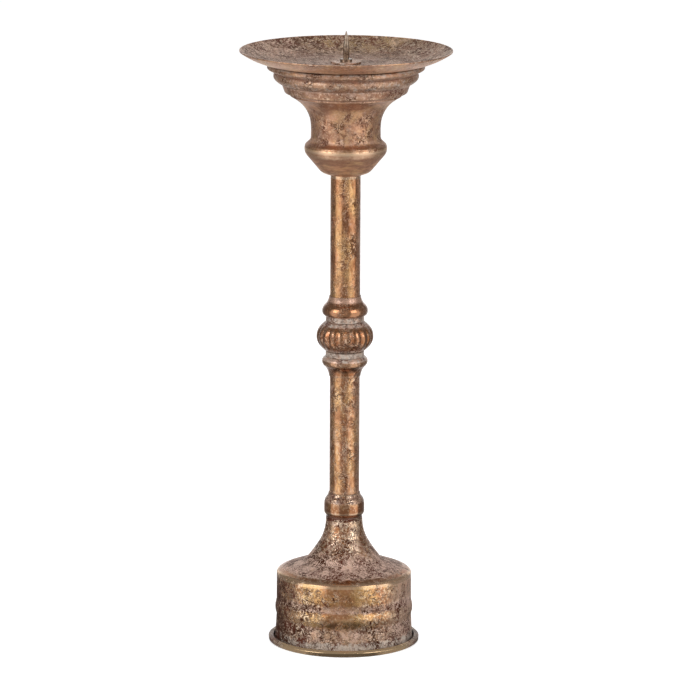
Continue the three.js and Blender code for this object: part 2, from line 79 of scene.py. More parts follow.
# Pieces whose outlines have a crease too shallow to tell from a curve, by the crease's radius
CREASES = {
    "base_ferrule": [12.33 * MM],
    "upper_collar": [12.88 * MM],
    "lower_collar": [13.34 * MM],
}

# Edge of the drum where the dome sits on it
SEAM_ROUND = 1.1 * MM
SEAM_DROP = 0.65 * MM
RIM_START = 46.7 * MM

# Lip of the cup, which stands up round the pan's flat bottom
LIP_START = 49.6 * MM
LIP_RISE = 0.75 * MM

# Sides of the turned pieces, by how wide they are
WIDE_SIDES = 192
CUP_SIDES = 160
STEM_SIDES = 128
WASHER_SIDES = 96
SPIKE_SIDES = 32
ROD_SIDES = 24

# Threads
THREAD_PITCH = 1.0 * MM
THREAD_DEPTH = 0.45 * MM
THREAD_ROW = THREAD_PITCH / 8
SHANK_SHARE = 0.9
ROD_CLEARANCE = 0.3 * MM

# Nuts
NUT_STEPS = 96
NUT_CHAMFER = math.tan(math.radians(30))
NUT_FACE = 0.95
NUT_EDGE = math.radians(24)
HOLE_CHAMFER = 0.5 * MM

# Spring washer
SPLIT_STEPS = 72
SPLIT_GAP = math.radians(9)
SPLIT_SLANT = math.radians(8)
SPLIT_EASE = 0.2 * MM
SPLIT_EDGE = math.radians(50)

# Clamping bar
BAR_EASE = 0.45 * MM
BAR_EASE_STEPS = 3
BAR_EDGE = math.radians(40)
SAME_POINT = 1e-6
FLAT_TURN = math.radians(2)

# Knop
KNOP_LOBES = 20
LOBE_SIDES = 16
LOBE_RELIEF = 0.25
FLUTE_DEPTH = 0.8 * MM
FLUTE_RELIEF = 0.9
KNOP_ROW = 0.6 * MM
KNOP_HUB = 9.0 * MM

# Studio: how bright it is about the object. A card has its left and right edges, as azimuths from the
# camera's side to the right, and what it adds. Its top and the ceiling's edge are the upward part of a way.
ROOM_LEVEL = 0.26
STUDIO_CARDS = [
    (math.radians(-80), math.radians(-29), 1.05),
    (math.radians(-27), math.radians(32), 0.22),
    (math.radians(30), math.radians(82), 1.05),
]
CARD_EDGE = math.radians(5)
CARD_TOP = 0.4
CEILING_EDGE = 0.75
CEILING = 0.3
BACKDROP_EDGE = math.radians(150)

# Floor, with the painted shade that the metal sees in it round the foot, in mm from the axis
FLOOR_RADIUS = 6.0
FLOOR_SIDES = 96
FLOOR_GREY = 0.8
FLOOR_ROUGHNESS = 0.9
FLOOR_GLOW = 0.62
FOOT_SHADE = 0.25
FOOT_SHADE_START = 50
FOOT_SHADE_END = 210

record = frame["record"]
BODY_OF = {node: body for body, nodes in record["behaviour"]["bodies"].items() for node in nodes}
ROD_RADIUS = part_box("tie_rod")[1].x
ROD_HOLE = ROD_RADIUS + ROD_CLEARANCE


# Outlines

def meridian(node, azimuth):
    """A CAD node's outline in one half-plane through the axis, as (radius, height) points in order, and
    whether it closes on itself."""
    side = Vector((math.sin(azimuth), -math.cos(azimuth), 0))
    across = Vector((math.cos(azimuth), math.sin(azimuth), 0))
    mesh = frame["nodes"][node].data
    seen = {}
    for vertex in mesh.vertices:
        radius = vertex.co.dot(side)
        if abs(vertex.co.dot(across)) < ON_PLANE and radius > -ON_PLANE:
            seen[vertex.index] = (round(max(radius, 0), 6), round(vertex.co.z, 6))
    links = {}
    for face in mesh.polygons:
        corners = [seen.get(i) for i in face.vertices]
        for a, b in zip(corners, corners[1:] + corners[:1]):
            if a and b and a != b:
                links.setdefault(a, set()).add(b)
                links.setdefault(b, set()).add(a)
    ends = sorted(point for point, near in links.items() if len(near) == 1)
    outline = [ends[0] if ends else min(links)]
    while True:
        onward = [point for point in links[outline[-1]] if point not in outline[-2:-1] + outline[:1]]
        if not onward or len(outline) > len(links):
            break
        outline.append(onward[0])
    return [Vector(point) for point in outline], not ends


def legs_of(points, closed):
    """The way from each point to the next."""
    onward = points[1:] + points[:1] if closed else points[1:]
    return [b - a for a, b in zip(points, onward)]


def turn_between(before, after):
    """The angle from one direction to another, over 0 to the left."""
    return math.atan2(before.x * after.y - before.y * after.x, before.dot(after))


def outward(outline, closed):
    """The outline in the order that has the metal on its left, so that a left turn is a proud edge."""
    loop = outline + outline[:1] if closed else outline
    area = sum(a.x * b.y - b.x * a.y for a, b in zip(loop, loop[1:]))
    return outline if area > 0 else outline[::-1]


def curve_between(a, b, start, end, row):
    """Points after a up to b on the curve that leaves a along start and reaches b along end."""
    chord = (b - a).length
    turn = abs(turn_between(start, end))
    reach = chord / 3
    if turn > STRAIGHT_TURN:
        reach = chord * 2 / 3 * math.tan(turn / 4) / math.sin(turn / 2)
    steps = max(1, math.ceil(turn / ROW_TURN), math.ceil(chord / row))
    points = []
    for i in range(1, steps + 1):
        t = i / steps
        s = 1 - t
        points.append(a * s ** 3 + (a + start * reach) * 3 * s * s * t
                      + (b - end * reach) * 3 * s * t * t + b * t ** 3)
    return points


def corners_of(outline, closed, creases):
    """Whether each point of the outline is a sharp corner, and the way that a curve passes through it."""
    count = len(outline)
    legs = legs_of(outline, closed)
    sizes = [leg.length for leg in legs]
    ways = [leg.normalized() for leg in legs]
    hinted = {min(range(count), key=lambda i: abs(outline[i].x - radius)) for radius in creases}
    sharp, tangents = [], []
    for i in range(count):
        if not closed and i in (0, count - 1):
            sharp.append(True)
            tangents.append(None)
            continue
        before, after = (i - 1) % len(legs), i % len(legs)
        turn = abs(turn_between(ways[before], ways[after]))
        longest = max(sizes[before], sizes[after])
        sharp.append(turn > SHARP_TURN or (turn > CREASE_TURN and longest > SHORT_FACET) or i in hinted)
        if sizes[before] > LONG_LEG * sizes[after]:
            tangents.append(ways[before])
        elif sizes[after] > LONG_LEG * sizes[before]:
            tangents.append(ways[after])
        else:
            tangents.append((ways[before] * sizes[after] + ways[after] * sizes[before]).normalized())
    return sharp, tangents


def drawn_out(outline, closed, creases, row):
    """The outline with its facets turned back into curves and its corners eased."""
    sharp, tangents = corners_of(outline, closed, creases)
    points, corners = [outline[0]], [sharp[0]]
    for i, leg in enumerate(legs_of(outline, closed)):
        j = (i + 1) % len(outline)
        way = leg.normalized()
        start = way if sharp[i] else tangents[i]
        end = way if sharp[j] else tangents[j]
        if sharp[i] and not sharp[j]:
            start = 2 * way.dot(end) * way - end
        if sharp[j] and not sharp[i]:
            end = 2 * way.dot(start) * way - start
        stretch = curve_between(outline[i], outline[j], start, end, row)
        points += stretch
        corners += [False] * (len(stretch) - 1) + [sharp[j]]
    if closed:
        points.pop()
        corners.pop()
    lowest, highest = min(p.y for p in outline), max(p.y for p in outline)
    widest = max(p.x for p in outline)
    points = [Vector((min(p.x, widest), min(max(p.y, lowest), highest))) for p in points]
    return eased(points, corners, closed)


def eased(points, corners, closed):
    """The points with each sharp corner replaced by a small round between two guard points."""
    count = len(points)
    out = []
    for i, point in enumerate(points):
        if not corners[i] or (not closed and i in (0, count - 1)):
            out.append(point)
            continue
        back = points[i - 1] - point
        on = points[(i + 1) % count] - point
        size = min(EDGE_ROUND, EDGE_SHARE * back.length, EDGE_SHARE * on.length)
        back.normalize()
        on.normalize()
        out.append(point + back * size * EDGE_GUARD)
        for k in range(EDGE_STEPS + 1):
            t = k / EDGE_STEPS
            out.append(point + back * size * (1 - t) ** 2 + on * size * t ** 2)
        out.append(point + on * size * EDGE_GUARD)
    return out


def relief_of(points, closed):
    """How proud (over 0) or hollow (under 0) the outline is at each point, in radians of turn near it."""
    count = len(points)
    legs = legs_of(points, closed)
    places = [0.0]
    for leg in legs:
        places.append(places[-1] + leg.length)
    around = places[-1]
    turns = []
    for i in range(count):
        end = not closed and i in (0, count - 1)
        turns.append(0 if end else turn_between(legs[(i - 1) % len(legs)], legs[i % len(legs)]))
    relief = []
    for i in range(count):
        total = 0
        for j in range(count):
            gap = abs(places[i] - places[j])
            if closed:
                gap = min(gap, around - gap)
            total += turns[j] * max(0, 1 - gap / RELIEF_REACH)
        relief.append(total)
    return relief


# Small changes to the outlines of the foot and the cup

def seam_inset(over):
    """How far the round of the drum's edge has drawn in, at a height above the round's start."""
    over = min(max(over, 0), SEAM_DROP)
    return SEAM_ROUND - math.sqrt(SEAM_ROUND ** 2 - over ** 2)


def rounded_drum(points):
    """The drum's outer edge rounded over where the dome sits on it."""
    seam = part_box("base_drum")[1].z
    wall = max(p.x for p in points if abs(p.y - seam) < ON_PLANE)
    out = []
    for p in points:
        inset = 0
        if p.x > wall - seam_inset(SEAM_DROP):
            inset = seam_inset(p.y - seam + SEAM_DROP)
        out.append(Vector((p.x - inset, p.y)))
    return out


def drawn_in_dome(points):
    """The dome's edge drawn in to meet the drum's rounded one."""
    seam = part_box("base_drum")[1].z
    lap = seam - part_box("base_cone")[0].z
    out = []
    for p in points:
        inset = 0
        if p.y > seam - ON_PLANE:
            inset = seam_inset(SEAM_DROP) * max(0, 1 - (p.y - seam) / lap)
        out.append(Vector((p.x - inset, p.y)))
    return out


def share_between(value, start, end):
    """How far a value is from start to end, kept from 0 to 1."""
    return min(max((value - start) / (end - start), 0), 1)


def raised_lip(points):
    """The cup's rolled lip drawn up round the pan's flat bottom."""
    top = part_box("cup_bell")[1]
    crown = max(p.x for p in points if top.z - p.y < ON_PLANE)
    low = top.z - (top.x - crown)
    out = []
    for p in points:
        share = share_between(p.y, low, top.z) * share_between(p.x, LIP_START, crown)
        out.append(Vector((p.x, p.y + LIP_RISE * share)))
    return out


RESHAPED = {"base_drum": rounded_drum, "base_cone": drawn_in_dome, "cup_bell": raised_lip}


# Meshes

def finished(mesh, name, edge=None):
    """A smooth piece in the scene with its faces pointing out, sharp where it turns by more than an edge."""
    bmesh.ops.recalc_face_normals(mesh, faces=mesh.faces)
    data = bpy.data.meshes.new(name)
    mesh.to_mesh(data)
    mesh.free()
    data.shade_smooth()
    if edge:
        data.set_sharp_from_angle(angle=edge)
    piece = bpy.data.objects.new(name, data)
    bpy.context.scene.collection.objects.link(piece)
    return piece


def turned_piece(name, points, closed, sides):
    """Turns an outline about the axis, with its relief kept on every point."""
    mesh = bmesh.new()
    level = mesh.verts.layers.float.new("relief")
    rings = []
    for point, height in zip(points, relief_of(points, closed)):
        ring = []
        for k in range(1 if point.x < ON_PLANE else sides):
            angle = 2 * math.pi * k / sides
            ring.append(mesh.verts.new((point.x * math.sin(angle), -point.x * math.cos(angle), point.y)))
            ring[-1][level] = height
        rings.append(ring)
    pairs = list(zip(rings, rings[1:]))
    if closed:
        pairs.append((rings[-1], rings[0]))
    for low, high in pairs:
        for k in range(sides):
            n = (k + 1) % sides
            corners = [low[k % len(low)], low[n % len(low)], high[n % len(high)], high[k % len(high)]]
            corners = list(dict.fromkeys(corners))
            if len(corners) > 2:
                mesh.faces.new(corners)
    return finished(mesh, name)


def turned_blank(node, sides, row=ROW, azimuth=0.0):
    """A smooth turned piece with the outline that a CAD node has at an azimuth."""
    outline, closed = meridian(node, azimuth)
    outline = outward(outline, closed)
    points = drawn_out(outline, closed, CREASES.get(node, []), row)
    if node in RESHAPED:
        points = RESHAPED[node](points)
    return turned_piece(node + "_turned", points, closed, sides)


def skin_between(mesh, sections):
    """Faces from each section, a loop of points, to the next."""
    for a, b in zip(sections, sections[1:]):
        for i in range(len(a)):
            j = (i + 1) % len(a)
            mesh.faces.new((a[i], b[i], b[j], a[j]))


def hexagon_radius(angle, half_flats):
    """How far the side of a hexagon with corners on the X axis is from its middle."""
    return half_flats / math.cos((angle % math.radians(60)) - math.radians(30))


def hex_nut(node, hole):
    """A nut with chamfered corners and a countersunk hole, in the place of a plain one."""
    low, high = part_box(node)
    half_flats = high.y
    face = NUT_FACE * half_flats
    mesh = bmesh.new()
    columns = []
    for k in range(NUT_STEPS):
        angle = 2 * math.pi * k / NUT_STEPS
        side = hexagon_radius(angle, half_flats)
        drop = (side - face) * NUT_CHAMFER
        section = [
            (hole + HOLE_CHAMFER, low.z), (face, low.z), (side, low.z + drop), (side, high.z - drop),
            (face, high.z), (hole + HOLE_CHAMFER, high.z), (hole, high.z - HOLE_CHAMFER),
            (hole, low.z + HOLE_CHAMFER),
        ]
        columns.append([mesh.verts.new((r * math.cos(angle), r * math.sin(angle), z)) for r, z in section])
    skin_between(mesh, columns + columns[:1])
    return finished(mesh, node + "_chamfered", NUT_EDGE)


def split_washer(node, hole):
    """A spring washer: a flat ring of square wire, cut through on a slant."""
    low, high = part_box(node)
    outer = high.x
    ease = SPLIT_EASE
    section = [
        (hole, low.z + ease), (hole + ease, low.z), (outer - ease, low.z), (outer, low.z + ease),
        (outer, high.z - ease), (outer - ease, high.z), (hole + ease, high.z), (hole, high.z - ease),
    ]
    middle = (low.z + high.z) / 2
    mesh = bmesh.new()
    rings = []
    for k in range(SPLIT_STEPS + 1):
        ring = []
        for r, z in section:
            slant = SPLIT_SLANT * (z - middle) / (high.z - low.z)
            angle = SPLIT_GAP / 2 + (2 * math.pi - SPLIT_GAP) * k / SPLIT_STEPS + slant
            ring.append(mesh.verts.new((r * math.sin(angle), -r * math.cos(angle), z)))
        rings.append(ring)
    skin_between(mesh, rings)
    mesh.faces.new(rings[0])
    mesh.faces.new(rings[-1][::-1])
    return finished(mesh, node + "_split", SPLIT_EDGE)


def eased_bar(node):
    """The clamping bar with its sheared edges eased."""
    mesh = bmesh.new()
    mesh.from_mesh(frame["nodes"][node].data)
    bmesh.ops.remove_doubles(mesh, verts=mesh.verts, dist=SAME_POINT)
    bmesh.ops.dissolve_limit(mesh, angle_limit=FLAT_TURN, verts=mesh.verts, edges=mesh.edges)
    edges = [e for e in mesh.edges if e.calc_face_angle(0) > BAR_EDGE]
    bmesh.ops.bevel(mesh, geom=edges, offset=BAR_EASE, segments=BAR_EASE_STEPS, profile=0.5, affect="EDGES")
    bmesh.ops.triangulate(mesh, faces=[f for f in mesh.faces if len(f.verts) > 4])
    return finished(mesh, node + "_eased", BAR_EDGE)


# Nodes

def fill(tree, node, inputs):
    """Sets a node's sockets to values, or links them to other nodes' outputs."""
    for socket, value in inputs.items():
        if isinstance(value, bpy.types.NodeSocket):
            tree.links.new(value, node.inputs[socket])
        else:
            node.inputs[socket].default_value = value


def add_node(tree, kind, inputs=None, **settings):
    """A node with its settings and its sockets filled."""
    node = tree.nodes.new(kind)
    for name, value in settings.items():
        setattr(node, name, value)
    fill(tree, node, inputs or {})
    return node


def new_tree(name, kind, inputs, outputs):
    """A tree whose sockets have names and kinds, with its input sockets and its output node."""
    tree = bpy.data.node_groups.new(name, kind)
    for in_out, sockets in (("INPUT", inputs), ("OUTPUT", outputs)):
        for label, socket in sockets.items():
            tree.interface.new_socket(label, in_out=in_out, socket_type="NodeSocket" + socket)
    return tree, add_node(tree, "NodeGroupInput").outputs, add_node(tree, "NodeGroupOutput")


def calc(tree, operation, a, b=0.0):
    """One operation on two values, each a number or a socket."""
    return add_node(tree, "ShaderNodeMath", {0: a, 1: b}, operation=operation).outputs[0]


def plus(tree, a, b):
    return calc(tree, "ADD", a, b)


def minus(tree, a, b):
    return calc(tree, "SUBTRACT", a, b)


def times(tree, product, *others):
    for other in others:
        product = calc(tree, "MULTIPLY", product, other)
    return product


# Geometry node trees

def shape_tree(name, sizes):
    """A geometry tree that takes a blank, sizes and a finish."""
    inputs = {"Blank": "Geometry", **dict.fromkeys(sizes, "Float"), "Finish": "Material"}
    return new_tree(name, "GeometryNodeTree", inputs, {"Shape": "Geometry"})


def polar(tree):
    """A point's coordinates, its radius about the axis and its angle from the front."""
    place = add_node(tree, "GeometryNodeInputPosition").outputs[0]
    parts = add_node(tree, "ShaderNodeSeparateXYZ", {0: place}).outputs
    squares = plus(tree, times(tree, parts[0], parts[0]), times(tree, parts[1], parts[1]))
    angle = calc(tree, "ARCTAN2", parts[0], times(tree, parts[1], -1.0))
    return parts, calc(tree, "SQRT", squares), angle


def cut_in(tree, blank, depth, parts, radius):
    """The blank with every point drawn towards the axis by a depth."""
    scale = minus(tree, 1.0, calc(tree, "DIVIDE", depth, radius))
    moved = add_node(tree, "ShaderNodeCombineXYZ", {
        0: times(tree, parts[0], scale), 1: times(tree, parts[1], scale), 2: parts[2],
    }).outputs[0]
    return add_node(tree, "GeometryNodeSetPosition", {"Geometry": blank, "Position": moved}).outputs[0]


def end_tree(tree, shape, finish, last):
    """Ends a tree in real geometry with a finish on it."""
    real = add_node(tree, "GeometryNodeRealizeInstances", {0: shape}).outputs[0]
    dressed = add_node(tree, "GeometryNodeSetMaterial", {"Geometry": real, "Material": finish}).outputs[0]
    fill(tree, last, {"Shape": dressed})


def flute_tree():
    """Cuts flutes between round lobes, which fade out towards both ends of a turned blank."""
    tree, given, last = shape_tree("cut_flutes", ["Lobes", "Depth", "Bottom", "Height", "Hub"])
    parts, radius, angle = polar(tree)
    share = calc(tree, "DIVIDE", minus(tree, parts[2], given["Bottom"]), given["Height"])
    fade = calc(tree, "MAXIMUM", calc(tree, "SINE", times(tree, share, math.pi)), 0.0)
    swing = calc(tree, "SINE", times(tree, angle, times(tree, given["Lobes"], 0.5)))
    groove = minus(tree, 1.0, calc(tree, "ABSOLUTE", swing))
    outside = calc(tree, "GREATER_THAN", radius, given["Hub"])
    cut = times(tree, fade, groove, outside)
    relief = add_node(tree, "GeometryNodeInputNamedAttribute", {"Name": "relief"}, data_type="FLOAT")
    # Flutes are marked hollow, which paints shade in them, and lobes proud, which paints highlights on them
    proud = plus(tree, relief.outputs[0], LOBE_RELIEF)
    hollowed = minus(tree, proud, times(tree, cut, FLUTE_RELIEF))
    marked = add_node(tree, "GeometryNodeStoreNamedAttribute",
                      {"Geometry": given["Blank"], "Name": "relief", "Value": hollowed},
                      data_type="FLOAT", domain="POINT").outputs[0]
    depth = times(tree, cut, given["Depth"])
    end_tree(tree, cut_in(tree, marked, depth, parts, radius), given["Finish"], last)
    return tree


def thread_tree():
    """Cuts a right-hand thread into a turned blank between two heights."""
    tree, given, last = shape_tree("cut_thread", ["Pitch", "Depth", "Start", "End", "Shank"])
    parts, radius, angle = polar(tree)
    climb = calc(tree, "DIVIDE", parts[2], given["Pitch"])
    turns = minus(tree, climb, calc(tree, "DIVIDE", angle, 2 * math.pi))
    groove = times(tree, calc(tree, "PINGPONG", turns, 0.5), 2.0)
    run_in = calc(tree, "DIVIDE", minus(tree, parts[2], given["Start"]), given["Pitch"])
    run_out = calc(tree, "DIVIDE", minus(tree, given["End"], parts[2]), given["Pitch"])
    within = calc(tree, "MAXIMUM", calc(tree, "MINIMUM", run_in, run_out), 0.0)
    within = calc(tree, "MINIMUM", within, 1.0)
    outside = calc(tree, "GREATER_THAN", radius, given["Shank"])
    depth = times(tree, groove, within, outside, given["Depth"])
    end_tree(tree, cut_in(tree, given["Blank"], depth, parts, radius), given["Finish"], last)
    return tree


def shaped(blank, tree, values):
    """Runs a tree on a blank and keeps the result as a plain mesh."""
    modifier = blank.modifiers.new(tree.name, "NODES")
    modifier.node_group = tree
    for item in tree.interface.items_tree:
        if item.item_type == "SOCKET" and item.in_out == "INPUT" and item.name in values:
            modifier[item.identifier] = values[item.name]
    depsgraph = bpy.context.evaluated_depsgraph_get()
    result = bpy.data.meshes.new_from_object(
        blank.evaluated_get(depsgraph), preserve_all_data_layers=True, depsgraph=depsgraph)
    result.name = blank.data.name
    blank.modifiers.remove(modifier)
    blank.data = result
    result.shade_smooth()


# Shader node groups

def shader_group(name, inputs, outputs):
    """A shader group that puts out values which change over the surface."""
    return new_tree(name, "ShaderNodeTree", inputs, dict.fromkeys(outputs, "Float"))


def place_group(tree, group, values):
    return add_node(tree, "ShaderNodeGroup", values, node_tree=group).outputs


def noise(tree, place, scale, detail=2.0, roughness=0.5, distortion=0.0):
    """Cloudy values about 0.5, with a scale in clouds per mm."""
    return add_node(tree, "ShaderNodeTexNoise", {
        "Vector": place, "Scale": scale, "Detail": detail, "Roughness": roughness, "Distortion": distortion,
    }).outputs[0]


def step(tree, value, start, end, low=0.0, high=1.0):
    """A smooth change from low to high as the value goes from start to end."""
    return add_node(tree, "ShaderNodeMapRange", {
        "Value": value, "From Min": start, "From Max": end, "To Min": low, "To Max": high,
    }, interpolation_type="SMOOTHSTEP").outputs[0]


def blend(tree, factor, a, b):
    """A colour between a and b."""
    return add_node(tree, "ShaderNodeMix", {0: factor, 6: a, 7: b}, data_type="RGBA").outputs[2]


def worm_pits_group():
    """Corrosion that has eaten spots and short wandering tracks, with pale crumbs beside them."""
    tree, given, out = shader_group(
        "worm_pits", {"Place": "Vector", "Track": "Float", "Amount": "Float"}, ["Dark", "Pale", "Rough"])
    place = given["Place"]
    pitch = calc(tree, "DIVIDE", 1.0, given["Track"])
    spots = noise(tree, place, pitch, detail=2.0, roughness=0.6, distortion=0.9)
    wander = noise(tree, place, times(tree, pitch, 0.36), detail=2.5, roughness=0.55, distortion=1.4)
    cluster = noise(tree, place, times(tree, pitch, 0.16), detail=3.0, roughness=0.6)
    more = times(tree, minus(tree, given["Amount"], 0.5), 0.45)
    drive = plus(tree, times(tree, minus(tree, cluster, 0.5), 0.65), more)
    eaten = step(tree, plus(tree, spots, drive), 0.60, 0.65)
    left = step(tree, plus(tree, minus(tree, 1.0, spots), drive), 0.60, 0.67)
    tracked = step(tree, drive, -0.13, 0.05)
    for name, patch, level in (("Dark", eaten, 0.50), ("Pale", left, 0.585)):
        away = calc(tree, "ABSOLUTE", minus(tree, wander, level))
        line = times(tree, step(tree, away, 0.055, 0.028), tracked)
        fill(tree, out, {name: calc(tree, "MAXIMUM", patch, line)})
    fill(tree, out, {"Rough": step(tree, drive, -0.08, 0.08)})
    return tree


def ragged_film_group():
    """A film that covers part of the surface, with a ragged edge."""
    tree, given, out = shader_group(
        "ragged_film", {"Place": "Vector", "Patch": "Float", "Amount": "Float"}, ["Cover"])
    pitch = calc(tree, "DIVIDE", 1.0, given["Patch"])
    cloud = noise(tree, given["Place"], pitch, detail=7.0, roughness=0.68, distortion=0.4)
    edge = minus(tree, 0.76, times(tree, given["Amount"], 0.52))
    fill(tree, out, {"Cover": step(tree, minus(tree, cloud, edge), -0.09, 0.10)})
    return tree


def handling_group():
    """Where the proud edges are rubbed bright, which also paints highlights on them, where dust stays in the
    hollows, and where the creases are darkened by soil and painted shade.
    """
    tree, given, out = shader_group("handling", {"Place": "Vector"}, ["Polished", "Hollow", "Crease"])
    relief = add_node(tree, "ShaderNodeAttribute", attribute_name="relief").outputs["Fac"]
    patchy = minus(tree, noise(tree, given["Place"], 0.4, detail=5.0, roughness=0.65), 0.5)
    uneven = plus(tree, relief, times(tree, patchy, 0.8))
    fill(tree, out, {
        "Polished": step(tree, uneven, 0.05, 0.40), "Hollow": step(tree, uneven, -0.08, -0.40),
        "Crease": step(tree, uneven, -0.50, -1.10),
    })
    return tree


def studio_group():
    """How bright the studio is in each direction about the object: cards at both sides, white behind."""
    tree, given, out = shader_group("studio", {"Way": "Vector"}, ["Level"])
    x, y, z = add_node(tree, "ShaderNodeSeparateXYZ", {0: given["Way"]}).outputs
    azimuth = calc(tree, "ARCTAN2", x, times(tree, y, -1.0))
    level = ROOM_LEVEL
    for left, right, extra in STUDIO_CARDS:
        rise = step(tree, azimuth, left - CARD_EDGE, left + CARD_EDGE)
        fall = step(tree, azimuth, right + CARD_EDGE, right - CARD_EDGE)
        level = plus(tree, times(tree, rise, fall, extra), level)
    turned_away = calc(tree, "ABSOLUTE", azimuth)
    behind = step(tree, turned_away, BACKDROP_EDGE - CARD_EDGE, BACKDROP_EDGE + CARD_EDGE)
    level = calc(tree, "MAXIMUM", level, behind)
    above = step(tree, z, CARD_TOP, CEILING_EDGE)
    below = times(tree, level, minus(tree, 1.0, above))
    fill(tree, out, {"Level": plus(tree, below, times(tree, above, CEILING))})
    return tree


WORM_PITS = worm_pits_group()
RAGGED_FILM = ragged_film_group()
HANDLING = handling_group()
STUDIO = studio_group()


# Materials

def srgb(red, green, blue):
    """A shader colour from a colour as it looks on a screen, 0 to 255."""
    def linear(level):
        level /= 255
        return level / 12.92 if level < 0.04045 else ((level + 0.055) / 1.055) ** 2.4
    return (linear(red), linear(green), linear(blue), 1.0)


COPPER = srgb(212, 158, 106)
RED_COPPER = srgb(198, 138, 98)
BROWN_TARNISH = srgb(138, 84, 48)
OLIVE_COPPER = srgb(208, 170, 112)
WORN_COPPER = srgb(238, 208, 176)
GILT_COPPER = srgb(246, 206, 138)
PALE_CRUMB = srgb(244, 218, 192)
MAUVE_FILM = srgb(208, 177, 160)
GREY_DUST = srgb(198, 188, 177)
DARK_PIT = srgb(66, 32, 14)
PLUM_PIT = srgb(88, 48, 34)
RUST = srgb(112, 78, 54)
RUBBER_BLACK = srgb(32, 31, 30)
RUBBER_BLOOM = srgb(70, 66, 62)

# Sizes of the patches in mm, and of the fine pits as a share of the coarse ones
FILM_PATCH = 6.0
DUST_PATCH = 3.5
BROWN_PATCH = 9.0
RUST_PATCH = 5.0
BLOOM_PATCH = 4.0
FINE_PITS = 0.6

# Depths of the relief
COPPER_RELIEF = 0.25 * MM
STEEL_RELIEF = 0.06 * MM
RUBBER_RELIEF = 0.08 * MM

# How aged copper has usually worn, as shares of the surface or strengths where no note says otherwise
USUAL_WEAR = {
    "pits": 0.4,
    "track": 1.7,  # width of a pit's track in mm
    "specks": 0.7,  # fine pits between the coarse ones
    "stain": 0.92,  # darkness of the pits
    "crumb": 0.85,  # pale crumbs beside the pits
    "film": 0.3,  # mauve film in patches
    "haze": 0.15,  # mauve film all over
    "settled": 0.5,  # mauve film in the hollows
    "dust": 0.1,
    # brown patches, painted as shade where their amount follows the height or the side
    "tarnish": 0.4,  # brown patches
    "flecks": 1.0,  # small dim and bright spots
    # pale copper on proud edges, which is also a painted highlight there
    "polish": 0.5,  # bright metal on proud edges
    # dark creases: soil and painted shade
    "grime": 0.7,  # dark creases
    # pale metal, painted as a highlight where its amount follows the side or a crest
    "worn": 0.0,  # bright metal all over
    # yellow metal, painted as highlight stripes where its amount follows the side
    "gilt": 0.0,  # yellow metal all over
    "lacquer": 0.0,
    "rough": 0.19,  # roughness of the clean metal
    "drawn": 1.0,  # over 1 draws the patches out upright, under 1 round the piece
    "crinkle": 0.1,  # fine bumps
    "dents": 0.7,  # broad bumps
}


def new_material(name):
    """A material with its tree, its shader and a place on the piece in mm."""
    material = bpy.data.materials.new(name)
    material.use_nodes = True
    tree = material.node_tree
    shader = tree.nodes["Principled BSDF"]
    place = add_node(tree, "ShaderNodeTexCoord").outputs["Object"]
    place = add_node(tree, "ShaderNodeVectorMath", {0: place, "Scale": 1 / MM}, operation="SCALE").outputs[0]
    return material, tree, shader, place


def relief(tree, height, strength, depth):
    """The normal of a surface with heights on it."""
    sizes = {"Strength": strength, "Distance": depth, "Height": height}
    return add_node(tree, "ShaderNodeBump", sizes).outputs[0]


def film_cover(tree, place, patch, share):
    """Where a film in ragged patches covers a share of the surface."""
    return place_group(tree, RAGGED_FILM, {"Place": place, "Patch": patch, "Amount": share})["Cover"]


def levels(axis, *stops):
    """An amount that changes smoothly to the right (side), to the back (depth), upwards (height) or away
    from the axis (radius), from (place in mm, amount) stops."""
    def build(tree, place):
        x, y, z = add_node(tree, "ShaderNodeSeparateXYZ", {0: place}).outputs
        if axis == "radius":
            flat = add_node(tree, "ShaderNodeCombineXYZ", {0: x, 1: y}).outputs[0]
            along = add_node(tree, "ShaderNodeVectorMath", {0: flat}, operation="LENGTH").outputs["Value"]
        else:
            along = {"side": x, "depth": y, "height": z}[axis]
        total = stops[0][1]
        for (low, before), (high, after) in zip(stops, stops[1:]):
            total = plus(tree, step(tree, along, low, high, 0.0, after - before), total)
        return total
    return build


def rising(node, *stops):
    """An amount that changes with the height, from (mm above a CAD node's foot, amount) stops."""
    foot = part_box(node)[0].z / MM
    return levels("height", *[(foot + up, share) for up, share in stops])


def amount(value, tree, place):
    """A plain amount, one that changes over the piece, or the sum of two such."""
    if isinstance(value, tuple):
        return plus(tree, value[0](tree, place), value[1](tree, place))
    return value(tree, place) if callable(value) else value


def bare_copper(tree, streaks, wear):
    """Red and yellow copper with olive clouds, brown patches, and dim and bright flecks."""
    tone = noise(tree, streaks, 0.1, detail=4.0, roughness=0.6)
    colour = blend(tree, step(tree, tone, 0.40, 0.62), RED_COPPER, COPPER)
    cloud = noise(tree, streaks, 0.05, detail=3.0, roughness=0.55, distortion=0.3)
    colour = blend(tree, step(tree, cloud, 0.50, 0.65, high=0.4), colour, OLIVE_COPPER)
    brown = film_cover(tree, streaks, BROWN_PATCH, wear["tarnish"])
    colour = blend(tree, times(tree, brown, 0.85), colour, BROWN_TARNISH)
    fleck = noise(tree, streaks, 0.62, detail=2.0, roughness=0.6)
    dim = times(tree, step(tree, fleck, 0.48, 0.37, high=0.75), wear["flecks"])
    bright = times(tree, step(tree, fleck, 0.54, 0.64, high=0.85), wear["flecks"])
    colour = blend(tree, dim, colour, BROWN_TARNISH)
    return blend(tree, bright, colour, WORN_COPPER)


def copper_pits(tree, place, wear):
    """Dark pits, pale crumbs and rough metal, with fine pits between the coarse ones."""
    coarse, fine = [
        place_group(tree, WORM_PITS, {"Place": place, "Track": wear["track"] * size, "Amount": wear["pits"]})
        for size in (1, FINE_PITS)]
    dark, pale = [
        calc(tree, "MAXIMUM", coarse[kind], times(tree, fine[kind], wear["specks"]))
        for kind in ("Dark", "Pale")]
    return dark, pale, coarse["Rough"]


